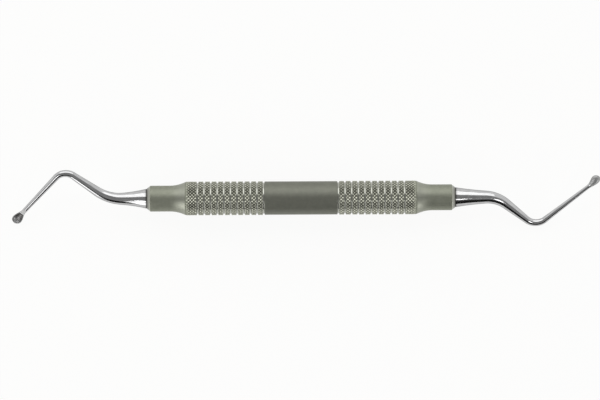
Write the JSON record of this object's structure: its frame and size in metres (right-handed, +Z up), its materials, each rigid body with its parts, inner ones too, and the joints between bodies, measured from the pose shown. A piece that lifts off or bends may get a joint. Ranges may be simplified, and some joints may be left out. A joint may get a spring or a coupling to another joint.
{
  "type": "surgical curette",
  "caption": "Double-ended surgical curette: knurled and ringed hollow steel handle with a cranked, polished shank and a small round spoon bowl at each end.",
  "frame": {"origin": "on the tray surface, under the middle of the handle", "axes": "+X along the handle from the left working end to the right one, +Y across it, +Z up; the level handle lies on its knurl and the right bend touches the tray"},
  "size_m": [0.173, 0.0171, 0.01],
  "materials": {
    "satin_steel": "satin, blasted, with machined grooves",
    "polished_steel": "mirror polished stainless steel"
  },
  "bodies": {
    "root": {"handle": "satin_steel", "left_working_end": "polished_steel", "right_working_end": "polished_steel"}
  },
  "joints": []
}
